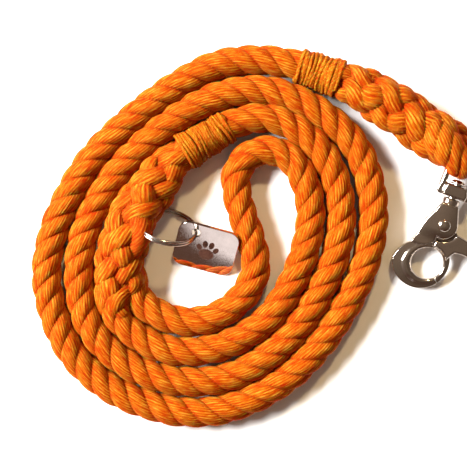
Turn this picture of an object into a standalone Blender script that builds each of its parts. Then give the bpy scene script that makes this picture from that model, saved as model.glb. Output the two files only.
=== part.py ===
"""Training leash: three-strand cotton rope laid in a flat spiral, with a spliced
handle loop, a swivel snap hook, and a split ring that carries a tag.

Metres, +Z up. The origin is on the table, at the centre of the leash's outline.
"""

import math

import bmesh
import bpy
import numpy as np
from mathutils import Matrix, Vector

MM = 0.001

# Driving dimensions, in millimetres
ROPE_R = 5.9  # half the rope's width between the crowns of its strands
ROPE_LIFT = 0.05  # the rope's underside above the table
GAP = 0.3  # running clearance between pieces
ROUTE_STEP = 11.0  # spacing of the tube's sections along the rope

# Route of the rope from the hook's whipping, round the spiral, to the handle's whipping
ROPE_ROUTE = [
    (27.0, 73.5), (18.0, 76.5), (0.0, 79.0), (-18.0, 76.5), (-34.5, 68.0), (-49.5, 57.5),
    (-63.5, 45.5), (-75.5, 32.0), (-85.0, 16.0), (-91.5, -1.0), (-93.5, -19.0),
    (-89.5, -37.0), (-81.0, -53.0), (-67.5, -65.5), (-51.5, -74.0), (-33.5, -78.5),
    (-15.5, -77.5), (1.5, -71.0), (16.5, -60.0), (29.0, -46.5), (39.0, -31.5),
    (47.0, -15.0), (51.5, 3.0), (51.0, 21.0), (45.0, 38.5), (33.5, 51.5), (18.0, 61.0),
    (0.5, 65.5), (-17.5, 62.5), (-34.0, 54.0), (-48.5, 43.0), (-61.5, 30.0),
    (-71.5, 14.5), (-78.0, -2.5), (-79.0, -21.0), (-74.5, -39.0), (-62.5, -53.0),
    (-45.5, -61.5), (-27.5, -64.0), (-9.5, -61.0), (6.0, -52.0), (19.0, -39.0),
    (28.5, -23.5), (35.5, -6.5), (37.5, 11.5), (33.5, 29.5), (23.0, 44.5), (7.0, 53.0),
    (-10.5, 50.5), (-22.3, 43.5),
]

# Route of the handle loop, out of the splice's end and back beside itself
LOOP_ROUTE = [
    (-66.5, -20.8), (-65.6, -28.0), (-61.5, -36.0), (-55.5, -42.0), (-47.0, -47.5),
    (-36.5, -50.5), (-25.5, -50.5), (-14.5, -48.0), (-5.0, -43.5), (4.0, -37.0),
    (11.0, -28.5), (16.5, -19.0), (20.5, -9.0), (23.0, 1.5), (24.0, 12.5), (22.0, 23.0),
    (17.0, 33.0), (8.0, 38.5), (-2.5, 37.0), (-9.0, 28.5), (-8.5, 18.0), (-5.5, 7.5),
    (-2.0, -3.0), (-0.5, -13.5), (-4.5, -24.0), (-12.0, -31.5), (-21.5, -36.5),
    (-32.5, -37.5), (-43.0, -34.5), (-50.0, -30.0), (-53.4, -26.0), (-54.4, -20.8),
]

# Splices: x, y, half width, half height and height of the centre, from the whipping on
HOOK_SPLICE = [
    (27.6, 73.3, 5.9, 5.9, 7.7), (36.0, 70.3, 7.0, 7.0, 9.0), (45.0, 66.0, 9.2, 8.8, 9.8),
    (54.0, 61.3, 10.2, 9.8, 10.2), (63.8, 55.0, 10.4, 10.2, 10.4),
    (72.5, 48.7, 10.4, 10.4, 10.5), (79.8, 42.6, 9.8, 10.4, 10.5),
]
HANDLE_SPLICE = [
    (-22.9, 43.2, 5.9, 5.9, 7.7), (-34.0, 36.4, 7.0, 7.0, 9.0), (-41.3, 28.2, 9.2, 9.0, 9.8),
    (-47.7, 20.0, 10.2, 10.2, 10.4), (-53.2, 11.3, 10.4, 10.7, 10.8),
    (-57.5, 2.0, 10.4, 10.7, 10.8), (-60.2, -8.0, 10.6, 9.8, 9.9),
    (-60.5, -19.2, 11.2, 8.2, 8.3),
]

# Whippings: the stretch that each covers, with its height, and its radius at both ends
HOOK_WHIP = [(19.2, 76.2, 7.45), (27.3, 73.4, 7.7), (35.2, 70.6, 8.8)]
HANDLE_WHIP = [(-13.2, 49.2, 7.45), (-22.6, 43.3, 7.7), (-32.0, 37.9, 8.8)]
WHIP_INNER = (6.35, 7.7)
WHIP_THICK = 1.0
WHIP_RISE = 1.6  # how far the whippings' thickness lifts the rope's ends
RISE_REACH = 50.0

# Snap hook, drawn flat: x across, y from the ring towards the swivel
HOOK_POS = (82.3, 5.8, 6.95)  # foot of the rivet on the swivel's axis
HOOK_TURN = -20.1  # degrees about Z
HOOK_TILT = 7.7  # degrees, swivel end up
RIVET_XY = (0.64, 0.0)
RIVET_R = 1.6
RIVET_HEAD_R = 2.9
RING_XY = (0.0, -18.4)  # centre of the hook's round opening
RING_R = 7.4
RIM_XY = (-2.8, -17.8)  # centre of its outside
RIM_R = 12.5
JAW_HALF = 2.8  # half thickness of the jaws
BODY_HALF = 4.2
SLOT_HALF = 1.8
SHOULDER_R = 6.2  # the body's round shoulder about the rivet
JAW_CUT_R = 7.4  # the trigger's hollow that clears it
NECK_R = 3.9
NECK_TOP = 12.3
PIN_R = 2.0
BAIL_EYE_Y = 26.5  # centre of the bail's round end
BAIL_EYE_R = 4.8
BAIL_WIRE = 3.2
BAIL_HALF = 1.75
WRAP_ANGLE = 28.0  # where the rope goes round the bail, from its left leg
EYE_TUBE_R = 4.1
EYE_BEND_R = 6.35
EYE_LEG = 8.9

# Split ring and tag
SPLIT_POS = (-39.5, 4.7, 12.35)
SPLIT_R = 13.0
SPLIT_HALF = 1.3  # half its height, two coils
SPLIT_WIRE = 1.3
SPLIT_TURN = -15.0
SPLIT_TILT = -57.5
STRAND_IN = 9.05  # from the ring's centre to the strand it hangs on
STRAND_R = 2.85
SWING = 25.0
TAG_AT = 8.0  # where the tag hangs on the ring, degrees
TAG_SIZE = (27.6, 23.2)
TAG_HOLE_IN = (8.0, 4.6)  # from the tag's left and top edges
TAG_HOLE_R = 2.0
TAG_HALF = 0.8
TAG_TILT = 33.0

ORANGE = (0.85, 0.22, 0.01)
NICKEL = (0.62, 0.58, 0.54)


# ---------------------------------------------------------------- scene helpers


def clear_scene():
    for item in list(bpy.data.objects):
        bpy.data.objects.remove(item, do_unlink=True)


def new_collection(name):
    group = bpy.data.collections.new(name)
    bpy.context.scene.collection.children.link(group)
    return group


def material(name, colour, roughness, metallic):
    mat = bpy.data.materials.new(name)
    mat.use_nodes = True
    shader = mat.node_tree.nodes["Principled BSDF"]
    shader.inputs["Base Color"].default_value = (*colour, 1.0)
    shader.inputs["Roughness"].default_value = roughness
    shader.inputs["Metallic"].default_value = metallic
    return mat


def add_object(name, data, group, mat=None, parent=None):
    item = bpy.data.objects.new(name, data)
    group.objects.link(item)
    if mat:
        data.materials.append(mat)
    item.parent = parent
    return item


def add_empty(name, matrix, parent=None):
    item = bpy.data.objects.new(name, None)
    PARTS.objects.link(item)
    item.parent = parent
    item.matrix_basis = matrix
    item.empty_display_size = 0.01
    return item


def placed(position, turn, tilt):
    """Frame at position (mm), tilted about X, then turned about Z."""
    return (
        Matrix.Translation(Vector(position) * MM)
        @ Matrix.Rotation(math.radians(turn), 4, "Z")
        @ Matrix.Rotation(math.radians(tilt), 4, "X")
    )


def make_cutter(item):
    """Moves an object among the cutters."""
    PARTS.objects.unlink(item)
    CUTTERS.objects.link(item)
    item.hide_render = True
    item.display_type = "WIRE"
    return item


def boolean(item, tool, operation="DIFFERENCE"):
    """Cuts or joins a cutter, as a modifier that stays on the object."""
    step = item.modifiers.new(tool.name, "BOOLEAN")
    step.operation = operation
    step.solver = "EXACT"
    step.object = tool


def smooth_shading(item):
    item.data.shade_smooth()
    item.data.set_sharp_from_angle(angle=math.radians(40))


def curve_to_mesh(item):
    """Swaps a curve for its mesh, with the caps welded on."""
    bpy.context.view_layer.update()
    graph = bpy.context.evaluated_depsgraph_get()
    mesh = bpy.data.meshes.new_from_object(item.evaluated_get(graph))
    work = bmesh.new()
    work.from_mesh(mesh)
    bmesh.ops.remove_doubles(work, verts=work.verts, dist=0.000001)
    bmesh.ops.recalc_face_normals(work, faces=work.faces)
    work.to_mesh(mesh)
    work.free()
    name, parent, basis = item.name, item.parent, item.matrix_basis.copy()
    bpy.data.objects.remove(item, do_unlink=True)
    result = bpy.data.objects.new(name, mesh)
    PARTS.objects.link(result)
    result.parent = parent
    result.matrix_basis = basis
    smooth_shading(result)
    return result


# ---------------------------------------------------------------- shape helpers


def route_samples(keys, step):
    """Catmull-Rom curve through rows of numbers, one sample about every step."""
    keys = [np.array(key) for key in keys]
    ends = [keys[0] * 2 - keys[1], *keys, keys[-1] * 2 - keys[-2]]
    samples = []
    for a, b, c, d in zip(ends, ends[1:], ends[2:], ends[3:]):
        count = max(1, round(math.dist(b[:2], c[:2]) / step))
        for k in range(count):
            t = k / count
            line = b + (c - a) * (t / 2)
            bend = (a * 2 - b * 5 + c * 4 - d) * (t**2 / 2)
            samples.append(line + bend + (b * 3 - a - c * 3 + d) * (t**3 / 2))
    return [*samples, keys[-1]]


def rope_points(route, rise=0.0):
    """Points of a rope that lies on the table, raised towards both of its ends."""
    flat = route_samples(route, ROUTE_STEP)
    height = ROPE_R + ROPE_LIFT
    points = []
    for spot in flat:
        reach = min(math.dist(spot, flat[0]), math.dist(spot, flat[-1]))
        share = max(0.0, 1.0 - reach / RISE_REACH)
        points.append(Vector((*spot, height + rise * share * share * (3 - 2 * share))))
    return points


def tube(name, points, radius, mat, sides_level=2, radii=None, parent=None, caps=True):
    """Round bar along points (mm); radii scales it from point to point."""
    curve = bpy.data.curves.new(name, "CURVE")
    curve.dimensions = "3D"
    curve.twist_mode = "MINIMUM"
    curve.bevel_depth = radius * MM
    curve.bevel_resolution = sides_level
    curve.use_fill_caps = caps
    spline = curve.splines.new("POLY")
    spline.points.add(len(points) - 1)
    for index, point in enumerate(points):
        spline.points[index].co = (*(Vector(point) * MM), 1.0)
        spline.points[index].radius = radii[index] if radii else 1.0
    return add_object(name, curve, PARTS, mat, parent)


def arc(centre, radius, start, end, step=15.0):
    """Points of an arc, in degrees from start to end either way round."""
    count = max(2, math.ceil(abs(end - start) / step))
    angles = [math.radians(start + (end - start) * k / count) for k in range(count + 1)]
    return [(centre[0] + radius * math.cos(a), centre[1] + radius * math.sin(a)) for a in angles]


def plate(name, outlines, half, mat, parent=None, edge=0.0, centre_z=0.0):
    """Flat outline (mm) with holes, half as thick each side, with rounded edges."""
    curve = bpy.data.curves.new(name, "CURVE")
    curve.dimensions = "2D"
    curve.fill_mode = "BOTH"
    curve.extrude = (half - edge) * MM
    curve.bevel_depth = edge * MM
    curve.bevel_resolution = 1
    curve.offset = -edge * MM
    for outline in outlines:
        spline = curve.splines.new("POLY")
        spline.points.add(len(outline) - 1)
        for index, (x, y) in enumerate(outline):
            spline.points[index].co = (x * MM, y * MM, 0.0, 1.0)
        spline.use_cyclic_u = True
    item = add_object(name, curve, PARTS, mat, parent)
    item.location = (0.0, 0.0, centre_z * MM)
    return curve_to_mesh(item)


def turned(name, profile, mat, parent, steps=24, ring=False):
    """Solid of revolution about Z; the profile runs down its outer side."""
    mesh = bpy.data.meshes.new(name)
    points = [(r * MM, 0.0, z * MM) for r, z in profile]
    links = [(k, k + 1) for k in range(len(points) - 1)]
    if ring:
        links.append((len(points) - 1, 0))
    mesh.from_pydata(points, links, [])
    item = add_object(name, mesh, PARTS, mat, parent)
    screw = item.modifiers.new("Turn", "SCREW")
    screw.axis = "Z"
    screw.steps = steps
    screw.render_steps = steps
    screw.use_merge_vertices = True
    screw.merge_threshold = 0.000001
    screw.use_smooth_shade = True
    return item


def rod(name, radius, low, high, parent, along_y=False, at=(0.0, 0.0), sides=24):
    """Cylinder about Z, or about Y, between two heights (mm)."""
    work = bmesh.new()
    bmesh.ops.create_cone(
        work, cap_ends=True, segments=sides, radius1=radius * MM, radius2=radius * MM,
        depth=(high - low) * MM,
    )
    mesh = bpy.data.meshes.new(name)
    work.to_mesh(mesh)
    work.free()
    item = add_object(name, mesh, PARTS, None, parent)
    middle = (low + high) / 2 * MM
    if along_y:
        item.rotation_euler = (math.radians(-90), 0.0, 0.0)
        item.location = (at[0] * MM, middle, at[1] * MM)
    else:
        item.location = (at[0] * MM, at[1] * MM, middle)
    return item


def oval_loft(name, stations, mat, sides=20, step=6.0):
    """Splice: ovals whose width and height change along a curved centreline."""
    samples = route_samples(stations, step)
    flat = [Vector((s[0], s[1], 0.0)) for s in samples]
    mesh = bpy.data.meshes.new(name)
    work = bmesh.new()
    rings = []
    for index, sample in enumerate(samples):
        ahead = flat[min(index + 1, len(flat) - 1)]
        behind = flat[max(index - 1, 0)]
        side = (ahead - behind).normalized().cross(Vector((0.0, 0.0, 1.0)))
        wide, high, height = sample[2:]
        centre = flat[index] + Vector((0.0, 0.0, height))
        ring = []
        for k in range(sides):
            angle = math.tau * k / sides
            spot = centre + side * (wide * math.cos(angle))
            spot.z += high * math.sin(angle)
            ring.append(work.verts.new(spot * MM))
        rings.append(ring)
    for first, second in zip(rings, rings[1:]):
        for k in range(sides):
            nxt = (k + 1) % sides
            work.faces.new((first[k], first[nxt], second[nxt], second[k]))
    work.faces.new(rings[0])
    work.faces.new(rings[-1])
    bmesh.ops.recalc_face_normals(work, faces=work.faces)
    work.to_mesh(mesh)
    work.free()
    item = add_object(name, mesh, PARTS, mat)
    smooth_shading(item)
    return item


# ---------------------------------------------------------------- rope and splices


def make_rope():
    cotton = material("rope_cotton", ORANGE, 0.9, 0.0)
    tube("rope_line", rope_points(ROPE_ROUTE, WHIP_RISE), ROPE_R, cotton)

    cotton = material("handle_cotton", ORANGE, 0.9, 0.0)
    tube("handle_loop", rope_points(LOOP_ROUTE), ROPE_R, cotton)


def make_whipping(name, stretch):
    """Band of twine: an open tube that widens over the splice's root."""
    twine = material(name + "_twine", ORANGE, 0.85, 0.0)
    narrow, wide = WHIP_INNER
    points = route_samples(stretch, 3.0)
    shares = [max(0.0, k / (len(points) - 1) - 0.4) / 0.6 for k in range(len(points))]
    radii = [1.0 + (wide / narrow - 1.0) * share for share in shares]
    item = curve_to_mesh(
        tube(name, points, narrow, twine, sides_level=5, radii=radii, caps=False)
    )
    shell = item.modifiers.new("Twine", "SOLIDIFY")
    shell.thickness = WHIP_THICK * MM
    shell.offset = 1.0
    shell.use_rim = True
    return item


def split_plane():
    return placed(SPLIT_POS, SPLIT_TURN, SPLIT_TILT)


def strand_frame():
    """Frame of the strand that the split ring hangs on, in the ring's plane."""
    return split_plane() @ Matrix.Translation(Vector((-STRAND_IN, 0.0, 0.0)) * MM)


def swing_outline():
    """What the ring sweeps about its strand: polar, the ring's reach past its swing."""
    rim = SPLIT_R + SPLIT_WIRE / 2 + 0.5
    outline = []
    for degrees in range(-180, 180, 8):
        past = math.radians(max(0.0, abs(degrees) - SWING))
        reach = STRAND_IN * math.cos(past)
        reach += math.sqrt(rim**2 - (STRAND_IN * math.sin(past)) ** 2)
        angle = math.radians(degrees)
        outline.append((reach * math.cos(angle), reach * math.sin(angle)))
    return outline


def make_handle_splice():
    """Splice with a narrow cut round one strand, where the split ring hangs."""
    cotton = material("handle_splice_cotton", ORANGE, 0.9, 0.0)
    splice = oval_loft("handle_splice", HANDLE_SPLICE, cotton)
    core = arc((0.0, 0.0), STRAND_R, 0, 345, 15)
    cutter = plate("ring_room", [swing_outline(), core], SPLIT_HALF + 0.5, None)
    cutter.matrix_basis = strand_frame()
    boolean(splice, make_cutter(cutter))


# ---------------------------------------------------------------- swivel and hook


def hook_point(frame, x, y, z=0.0):
    """Point of the hook's own flat frame, in the leash's frame (mm)."""
    return frame @ (Vector((x, y, z)) * MM) / MM


def wrap_frame():
    """Frame on the bail's wire where the rope goes round it: X along the wire."""
    angle = math.radians(WRAP_ANGLE)
    reach = BAIL_EYE_R + BAIL_WIRE / 2
    hook = placed(HOOK_POS, HOOK_TURN, HOOK_TILT)
    spot = Vector((-reach * math.cos(angle), BAIL_EYE_Y + reach * math.sin(angle), 0.0))
    return hook @ Matrix.Translation(spot * MM) @ Matrix.Rotation(math.radians(90) - angle, 4, "Z")


def make_hook_eye():
    """The rope's bight: over the bail's wire, down through the eye and back."""
    cotton = material("eye_cotton", ORANGE, 0.9, 0.0)
    frame = wrap_frame()
    points = []
    radii = []
    for k in range(4):
        share = 1.0 - k / 4
        points.append(Vector((0.0, EYE_LEG * share, EYE_BEND_R)))
        radii.append(1.0 + 0.2 * share)
    for k in range(13):
        angle = math.radians(90 - 15 * k)
        points.append(Vector((0.0, -EYE_BEND_R * math.cos(angle), EYE_BEND_R * math.sin(angle))))
        radii.append(1.0)
    for k in range(1, 5):
        share = k / 4
        points.append(Vector((0.0, EYE_LEG * share, -EYE_BEND_R)))
        radii.append(1.0 + 0.2 * share)
    points = [hook_point(frame, *point) for point in points]
    tube("hook_eye", points, EYE_TUBE_R, cotton, sides_level=3, radii=radii)


def make_bail(swivel):
    nickel = material("bail_nickel", NICKEL, 0.2, 1.0)
    wide = BAIL_EYE_R + BAIL_WIRE
    eye = (0.0, BAIL_EYE_Y)
    outer = [(-wide, 13.4), (-wide + 0.8, 12.6), (wide - 0.8, 12.6), (wide, 13.4)]
    outer += arc(eye, wide, 0, 180, 12)
    inner = [(-BAIL_EYE_R, 19.4), (-BAIL_EYE_R + 1, 18.4), (BAIL_EYE_R - 1, 18.4), (BAIL_EYE_R, 19.4)]
    inner += arc(eye, BAIL_EYE_R, 0, 180, 12)
    bail = plate("swivel_bail", [outer, inner], BAIL_HALF, nickel, swivel, edge=1.0)
    block = plate(
        "bail_block",
        [[(-5.2, 12.6), (5.2, 12.6), (5.6, 15.0), (4.6, 18.4), (-4.6, 18.4), (-5.6, 15.0)]],
        3.7, None, swivel, edge=0.6,
    )
    boolean(bail, make_cutter(block), "UNION")
    bore = rod("bail_bore", PIN_R + GAP, 11.0, 19.0, swivel, along_y=True)
    boolean(bail, make_cutter(bore))


def make_swivel_pin(hook):
    """Post peened over a washer inside the bail, fixed in the hook's neck."""
    steel = material("pin_nickel", NICKEL, 0.25, 1.0)
    upright = add_empty(
        "swivel_axis", Matrix.Rotation(math.radians(-90), 4, "X"), hook
    )
    head = [(0.0, 20.9), (1.6, 20.8), (2.7, 20.3), (3.1, 19.6), (PIN_R, 19.6), (PIN_R, 7.9), (0.0, 7.9)]
    turned("swivel_pin", head, steel, upright)
    steel = material("washer_nickel", NICKEL, 0.3, 1.0)
    washer = [(PIN_R + GAP, 19.25), (3.7, 19.25), (3.7, 18.7), (PIN_R + GAP, 18.7)]
    turned("swivel_washer", washer, steel, upright, ring=True)


def jaw_ring_outline():
    """The fixed jaw: thick at the left, thinning round to its tip."""
    outline = arc(RIM_XY, RIM_R, 125, 321, 14)
    outline += arc(RING_XY, RING_R, 313, 97, 12)
    outline += [(-0.9, -6.6), (-7.6, -4.0)]
    return outline


def make_hook_frame(hook):
    nickel = material("frame_nickel", NICKEL, 0.18, 1.0)
    frame = plate("hook_frame", [jaw_ring_outline()], JAW_HALF, nickel, hook, edge=0.9)
    body = [(-3.9, 9.0), (-4.8, 4.8), (-6.3, 1.6), (-7.4, -1.5), (-8.1, -5.5), (-9.0, -9.0)]
    body += [(-6.6, -11.0), (-3.6, -10.4), (-1.0, -8.6)]
    body += arc(RIVET_XY, SHOULDER_R, -104, 8, 12)
    body += [(5.6, 5.0), (4.1, 9.0)]
    block = plate("body_block", [body], BODY_HALF, None, hook, edge=1.0)
    boolean(frame, make_cutter(block), "UNION")
    neck = rod("neck_round", NECK_R, 6.0, NECK_TOP, hook, along_y=True)
    boolean(frame, make_cutter(neck), "UNION")
    slot = arc(RIVET_XY, 4.9, 25, 250, 15) + [(-1.04, -9.4), (9.5, -9.4), (9.5, 4.2)]
    boolean(frame, make_cutter(plate("jaw_slot", [slot], SLOT_HALF, None, hook)))
    bore = rod("rivet_bore", RIVET_R + GAP, -6.0, 6.0, hook, at=RIVET_XY)
    boolean(frame, make_cutter(bore))
    bore = rod("neck_bore", PIN_R + GAP, 7.5, 14.0, hook, along_y=True)
    boolean(frame, make_cutter(bore))


def trigger_outline():
    """The trigger: thin jaw round the ring's right side, and a thumb lever."""
    outline = arc(RIM_XY, RIM_R, -37.4, 20, 12)
    outline += [(8.7, -11.6), (9.6, -10.0), (12.5, -9.9), (16.6, -10.0)]
    outline += [(18.6, -9.0), (19.3, -6.9), (18.3, -4.7)]
    outline += [(14.5, -3.2), (10.8, -2.5)]
    outline += arc(RIVET_XY, JAW_CUT_R, -15, -95, 10)
    outline += [(-0.45, -8.2)]
    outline += arc(RING_XY, RING_R, 93.9, -44.3, 12)
    return outline


def make_trigger(pivot):
    """Trigger in its own frame, whose origin is on the rivet's axis."""
    nickel = material("trigger_nickel", NICKEL, 0.18, 1.0)
    shift = [(x - RIVET_XY[0], y - RIVET_XY[1]) for x, y in trigger_outline()]
    jaw = plate("trigger_jaw", [shift], JAW_HALF, nickel, pivot, edge=0.7)
    tang = arc((0.0, 0.0), 4.4, 5, 255, 15) + arc((0.0, 0.0), 8.2, -93, -16, 11)
    web = plate("trigger_tang", [tang], 0.7, None, pivot, centre_z=-0.8)
    boolean(jaw, make_cutter(web), "UNION")
    bore = rod("trigger_bore", RIVET_R + GAP, -4.0, 4.0, pivot)
    boolean(jaw, make_cutter(bore))


def make_rivet(pivot):
    steel = material("rivet_nickel", NICKEL, 0.15, 1.0)
    crown = BODY_HALF + GAP
    profile = [(0.0, crown + 1.3), (1.2, crown + 1.15), (2.2, crown + 0.7), (RIVET_HEAD_R, crown)]
    profile += [(RIVET_R, crown), (RIVET_R, -crown)]
    profile += [(RIVET_HEAD_R, -crown), (2.2, -crown - 0.7), (1.2, -crown - 1.15), (0.0, -crown - 1.3)]
    turned("pivot_rivet", profile, steel, pivot)


def make_spring(pivot):
    """Torsion spring round the rivet, beside the trigger's tang."""
    steel = material("spring_steel", (0.5, 0.5, 0.52), 0.35, 1.0)
    low, high, turns, radius = 0.45, 1.25, 1.6, 2.75
    start = 200.0
    count = 30
    points = []
    for k in range(count + 1):
        angle = math.radians(start + 360.0 * turns * k / count)
        height = low + (high - low) * k / count
        points.append(Vector((radius * math.cos(angle), radius * math.sin(angle), height)))
    for end, sign in ((0, -1), (-1, 1)):
        spot = points[end]
        along = Vector((-spot.y, spot.x, 0.0)).normalized() * sign
        tip = spot + along * 2.6
        points.insert(0 if end == 0 else len(points), tip)
    tube("jaw_spring", points, 0.2, steel, sides_level=1, parent=pivot)


# ---------------------------------------------------------------- split ring and tag


def make_split_ring():
    steel = material("ring_nickel", NICKEL, 0.2, 1.0)
    holder = add_empty("split_ring_axis", split_plane())
    inner, outer = SPLIT_R - SPLIT_WIRE / 2, SPLIT_R + SPLIT_WIRE / 2
    soft = 0.35
    profile = [
        (inner + soft, SPLIT_HALF), (outer - soft, SPLIT_HALF), (outer, SPLIT_HALF - soft),
        (outer, soft - SPLIT_HALF), (outer - soft, -SPLIT_HALF), (inner + soft, -SPLIT_HALF),
        (inner, soft - SPLIT_HALF), (inner, SPLIT_HALF - soft),
    ]
    turned("split_ring", profile, steel, holder, steps=48, ring=True)


def make_tag():
    """Rounded plate that hangs on the ring by its hole, its far edge on the table."""
    metal = material("tag_metal", (0.8, 0.76, 0.73), 0.12, 1.0)
    angle = math.radians(TAG_AT)
    spot = Vector((SPLIT_R * math.cos(angle), SPLIT_R * math.sin(angle), 0.0))
    hole = split_plane() @ (spot * MM) / MM
    holder = add_empty("tag_axis", placed(hole, SPLIT_TURN, TAG_TILT))
    width, height = TAG_SIZE
    left, top = TAG_HOLE_IN
    low_x, high_x, low_y, high_y = -left, width - left, top - height, top
    soft = 5.0
    outline = arc((high_x - soft, high_y - soft), soft, 0, 90)
    outline += arc((low_x + soft, high_y - soft), soft, 90, 180)
    outline += arc((low_x + soft, low_y + soft), soft, 180, 270)
    outline += arc((high_x - soft, low_y + soft), soft, 270, 360)
    hole_edge = arc((0.0, 0.0), TAG_HOLE_R, 0, 345, 15)
    plate("tag", [outline, hole_edge], TAG_HALF, metal, holder)


clear_scene()
PARTS = new_collection("training_leash")
CUTTERS = new_collection("cutters")

make_rope()
oval_loft("hook_splice", HOOK_SPLICE, material("hook_splice_cotton", ORANGE, 0.9, 0.0))
make_handle_splice()
make_whipping("hook_whipping", HOOK_WHIP)
make_whipping("handle_whipping", HANDLE_WHIP)
make_hook_eye()

HOOK = add_empty("hook_axis", placed(HOOK_POS, HOOK_TURN, HOOK_TILT))
PIVOT = add_empty("rivet_axis", Matrix.Translation(Vector((*RIVET_XY, 0.0)) * MM), HOOK)
make_bail(HOOK)
make_swivel_pin(HOOK)
make_hook_frame(HOOK)
make_trigger(PIVOT)
make_rivet(PIVOT)
make_spring(PIVOT)

make_split_ring()
make_tag()
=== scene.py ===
"""Looks of the training leash: laid cotton rope, splices, whippings, polished snap hook,
split ring and tag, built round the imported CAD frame. Metres, +Z up.
"""

import math

import bmesh
import bpy
import numpy as np
from mathutils import Matrix, Vector


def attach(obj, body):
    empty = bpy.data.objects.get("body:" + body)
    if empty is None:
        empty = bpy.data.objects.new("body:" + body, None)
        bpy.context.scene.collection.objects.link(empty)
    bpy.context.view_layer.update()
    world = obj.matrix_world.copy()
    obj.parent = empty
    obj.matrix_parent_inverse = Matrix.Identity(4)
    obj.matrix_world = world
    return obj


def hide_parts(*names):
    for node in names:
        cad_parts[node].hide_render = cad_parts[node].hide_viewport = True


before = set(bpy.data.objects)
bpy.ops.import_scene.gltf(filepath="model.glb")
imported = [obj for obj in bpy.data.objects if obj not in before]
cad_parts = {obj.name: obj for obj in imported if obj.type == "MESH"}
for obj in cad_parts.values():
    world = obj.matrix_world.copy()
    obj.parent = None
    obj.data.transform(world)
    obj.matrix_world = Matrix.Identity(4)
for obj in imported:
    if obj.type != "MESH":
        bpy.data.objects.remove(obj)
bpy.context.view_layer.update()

MM = 0.001
RANDOM = np.random.default_rng(7)
UP = np.array([0.0, 0.0, 1.0])

# Rope
ROPE_R = 6.35 * MM
LAY = 29.0 * MM  # length of one full turn of a strand
STRAND_ORBIT = 3.38 * MM  # from the rope's centreline to a strand's
STRAND_OUT = 3.1 * MM  # strand's half thickness, outwards
STRAND_WIDE = 3.85 * MM  # and along the rope's surface
YARNS = 18  # ridges round one strand
RIDGE = 0.3 * MM  # half height of a yarn's ridge
GROOVE_SHADE = 0.75  # painted shade: how far the colour in the grooves between yarns goes towards the shaded valley colour
BLUNT_END = 0.72  # size of a strand's first and last ring
FLOOR_GAP = 0.1 * MM
END_RISE = 1.6 * MM  # the whippings' thickness lifts the rope's ends
RISE_REACH = 50.0 * MM

ROPE_ROUTE = [
    (0.0270, 0.0735), (0.0180, 0.0765), (0.0, 0.0790), (-0.0180, 0.0765), (-0.0345, 0.0680),
    (-0.0495, 0.0575), (-0.0635, 0.0455), (-0.0755, 0.0320), (-0.0850, 0.0160),
    (-0.0915, -0.0010), (-0.0935, -0.0190), (-0.0895, -0.0370), (-0.0810, -0.0530),
    (-0.0675, -0.0655), (-0.0512, -0.0735), (-0.0334, -0.0776), (-0.0158, -0.0766),
    (0.0011, -0.0703), (0.0165, -0.0600), (0.0290, -0.0465), (0.0390, -0.0315),
    (0.0470, -0.0150), (0.0515, 0.0030), (0.0510, 0.0210), (0.0450, 0.0385),
    (0.0335, 0.0515), (0.0180, 0.0610), (0.0005, 0.0655), (-0.0175, 0.0625),
    (-0.0340, 0.0540), (-0.0485, 0.0430), (-0.0615, 0.0300), (-0.0715, 0.0145),
    (-0.0780, -0.0025), (-0.0790, -0.0210), (-0.0745, -0.0390), (-0.0625, -0.0530),
    (-0.0456, -0.0617), (-0.0275, -0.0643), (-0.0094, -0.0612), (0.0060, -0.0520),
    (0.0190, -0.0390), (0.0285, -0.0235), (0.0355, -0.0065), (0.0375, 0.0115),
    (0.0335, 0.0295), (0.0230, 0.0445), (0.0070, 0.0530), (-0.0105, 0.0505),
    (-0.0223, 0.0435),
]

LOOP_ROUTE = [
    (-0.0638, -0.0128), (-0.0665, -0.0208), (-0.0656, -0.0280), (-0.0615, -0.0360), (-0.0555, -0.0420),
    (-0.0470, -0.0475), (-0.0365, -0.0505), (-0.0255, -0.0505), (-0.0145, -0.0480),
    (-0.0050, -0.0435), (0.0040, -0.0370), (0.0110, -0.0285), (0.0165, -0.0190),
    (0.0205, -0.0090), (0.0230, 0.0015), (0.0240, 0.0125), (0.0220, 0.0230),
    (0.0170, 0.0330), (0.0080, 0.0385), (-0.0025, 0.0370), (-0.0090, 0.0285),
    (-0.0085, 0.0180), (-0.0055, 0.0075), (-0.0020, -0.0030), (-0.0005, -0.0135),
    (-0.0045, -0.0240), (-0.0120, -0.0315), (-0.0215, -0.0365), (-0.0325, -0.0375),
    (-0.0430, -0.0345), (-0.0500, -0.0300), (-0.0534, -0.0260), (-0.0548, -0.0208),
    (-0.0562, -0.0128),
]

# Splices: x, y, half width, half height and height of the centre
HOOK_SPLICE = np.array([
    (27.6, 73.3, 5.9, 5.9, 7.7), (36.0, 70.3, 7.0, 7.0, 9.0), (45.0, 66.0, 9.2, 8.8, 9.8),
    (54.0, 61.3, 10.2, 9.8, 10.2), (63.8, 55.0, 10.4, 10.2, 10.4),
    (72.5, 48.9, 10.6, 10.3, 10.5), (79.6, 43.9, 10.7, 10.2, 10.6), (84.8, 40.5, 10.2, 10.0, 10.6),
    (88.4, 38.0, 8.0, 8.2, 10.4), (90.0, 36.8, 4.4, 5.0, 10.2),
]) * MM
HANDLE_SPLICE = np.array([
    (-22.9, 43.2, 5.9, 5.9, 7.7), (-34.0, 36.4, 7.0, 7.0, 9.0), (-41.3, 28.2, 9.2, 9.0, 9.8),
    (-47.7, 20.0, 10.2, 10.2, 10.4), (-53.2, 11.3, 10.4, 10.7, 10.8),
    (-57.5, 2.0, 10.4, 10.7, 10.8), (-60.2, -8.0, 10.6, 9.8, 9.9),
    (-60.9, -18.2, 10.6, 8.4, 8.5), (-62.6, -26.0, 8.6, 7.8, 7.9), (-61.8, -33.5, 6.7, 6.6, 6.8),
    (-59.2, -38.5, 4.4, 4.4, 6.4),
]) * MM

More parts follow.
